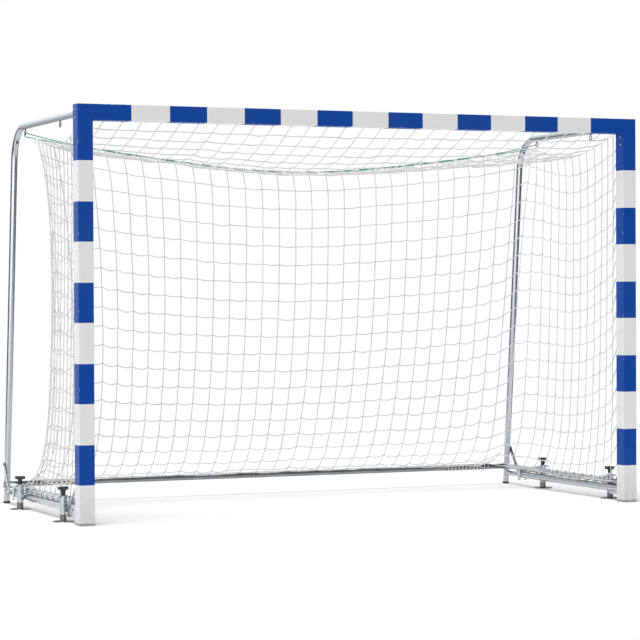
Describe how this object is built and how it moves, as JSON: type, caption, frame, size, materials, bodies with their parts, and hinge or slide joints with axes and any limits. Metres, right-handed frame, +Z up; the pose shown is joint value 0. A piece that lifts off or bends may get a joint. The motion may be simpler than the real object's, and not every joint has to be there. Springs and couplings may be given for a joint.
{
  "type": "handball goal",
  "caption": "Free-standing handball goal with blue and white square frame, galvanised net hoops, ground frame, white net and hand-screwed floor clamps.",
  "frame": {"origin": "on the floor, midway across the width and the depth of the whole goal", "axes": "+X to the right seen from the field, +Y from the mouth back into the goal, +Z up"},
  "size_m": [3.2636, 1.4738, 2.08],
  "materials": {
    "frame_paint": "satin, white with blue bands",
    "cast_aluminium": "cast",
    "grey_plastic": "moulded",
    "galvanised": "galvanised",
    "yellow_zinc": "yellow zinc plated",
    "dark_steel": "blackened",
    "rubber": "moulded",
    "black_plastic": "moulded",
    "net": "knotted white cord",
    "green_cord": "braided green cord"
  },
  "bodies": {
    "frame": {"crossbar": "frame_paint", "rear_tube": "galvanised", "tension_cord": "green_cord", "back_net": "net", "top_net": "net", "left_post": "frame_paint", "left_corner_connector": "cast_aluminium", "left_post_foot_cap": "grey_plastic", "left_top_bracket": "galvanised", "left_net_hoop": "galvanised", "left_hoop_bolt": "dark_steel", "left_rear_leg": "galvanised", "left_leg_cap": "rubber", "left_brace": "galvanised", "left_ground_rail": "galvanised", "left_front_bracket": "galvanised", "left_side_tube": "galvanised", "left_side_net": "net", "left_lacing": "net", "right_post": "frame_paint", "right_corner_connector": "cast_aluminium", "right_post_foot_cap": "grey_plastic", "right_top_bracket": "galvanised", "right_net_hoop": "galvanised", "right_hoop_bolt": "dark_steel", "right_rear_leg": "galvanised", "right_leg_cap": "rubber", "right_brace": "galvanised", "right_ground_rail": "galvanised", "right_front_bracket": "galvanised", "right_side_tube": "galvanised", "right_side_net": "net", "right_lacing": "net", "left_front_clamp_sleeve": "galvanised", "left_front_floor_plate": "yellow_zinc", "left_front_hook": "dark_steel", "left_rear_clamp_sleeve": "galvanised", "left_rear_floor_plate": "yellow_zinc", "left_rear_hook": "dark_steel", "right_front_clamp_sleeve": "galvanised", "right_front_floor_plate": "yellow_zinc", "right_front_hook": "dark_steel", "right_rear_clamp_sleeve": "galvanised", "right_rear_floor_plate": "yellow_zinc", "right_rear_hook": "dark_steel"},
    "left_front_clamp": {"left_front_clamp_plate": "galvanised"},
    "left_front_screw": {"left_front_spindle": "yellow_zinc", "left_front_knob": "black_plastic"},
    "left_rear_clamp": {"left_rear_clamp_plate": "galvanised"},
    "left_rear_screw": {"left_rear_spindle": "yellow_zinc", "left_rear_knob": "black_plastic"},
    "right_front_clamp": {"right_front_clamp_plate": "galvanised"},
    "right_front_screw": {"right_front_spindle": "yellow_zinc", "right_front_knob": "black_plastic"},
    "right_rear_clamp": {"right_rear_clamp_plate": "galvanised"},
    "right_rear_screw": {"right_rear_spindle": "yellow_zinc", "right_rear_knob": "black_plastic"}
  },
  "joints": [
    {"name": "left_front_clamp_lift", "type": "slide", "parent": "frame", "child": "left_front_clamp", "axis": [0, 0, 1], "range_m": [0, 0.021]},
    {"name": "left_front_screw_turn", "type": "hinge", "parent": "left_front_clamp", "child": "left_front_screw", "pos_m": [-1.5773, -0.45293, 0.15], "axis": [0, 0, 1], "range_deg": [0, 4320]},
    {"name": "left_rear_clamp_lift", "type": "slide", "parent": "frame", "child": "left_rear_clamp", "axis": [0, 0, 1], "range_m": [0, 0.021]},
    {"name": "left_rear_screw_turn", "type": "hinge", "parent": "left_rear_clamp", "child": "left_rear_screw", "pos_m": [-1.5773, 0.32408, 0.15], "axis": [0, 0, 1], "range_deg": [0, 4320]},
    {"name": "right_front_clamp_lift", "type": "slide", "parent": "frame", "child": "right_front_clamp", "axis": [0, 0, 1], "range_m": [0, 0.021]},
    {"name": "right_front_screw_turn", "type": "hinge", "parent": "right_front_clamp", "child": "right_front_screw", "pos_m": [1.5773, -0.45293, 0.15], "axis": [0, 0, 1], "range_deg": [0, 4320]},
    {"name": "right_rear_clamp_lift", "type": "slide", "parent": "frame", "child": "right_rear_clamp", "axis": [0, 0, 1], "range_m": [0, 0.021]},
    {"name": "right_rear_screw_turn", "type": "hinge", "parent": "right_rear_clamp", "child": "right_rear_screw", "pos_m": [1.5773, 0.32408, 0.15], "axis": [0, 0, 1], "range_deg": [0, 4320]}
  ],
  "couplings": [
    {"joint": "left_front_screw_turn", "follows": "left_front_clamp_lift", "rad_per_m": 3590.4},
    {"joint": "left_rear_screw_turn", "follows": "left_rear_clamp_lift", "rad_per_m": 3590.4},
    {"joint": "right_front_screw_turn", "follows": "right_front_clamp_lift", "rad_per_m": 3590.4},
    {"joint": "right_rear_screw_turn", "follows": "right_rear_clamp_lift", "rad_per_m": 3590.4}
  ]
}
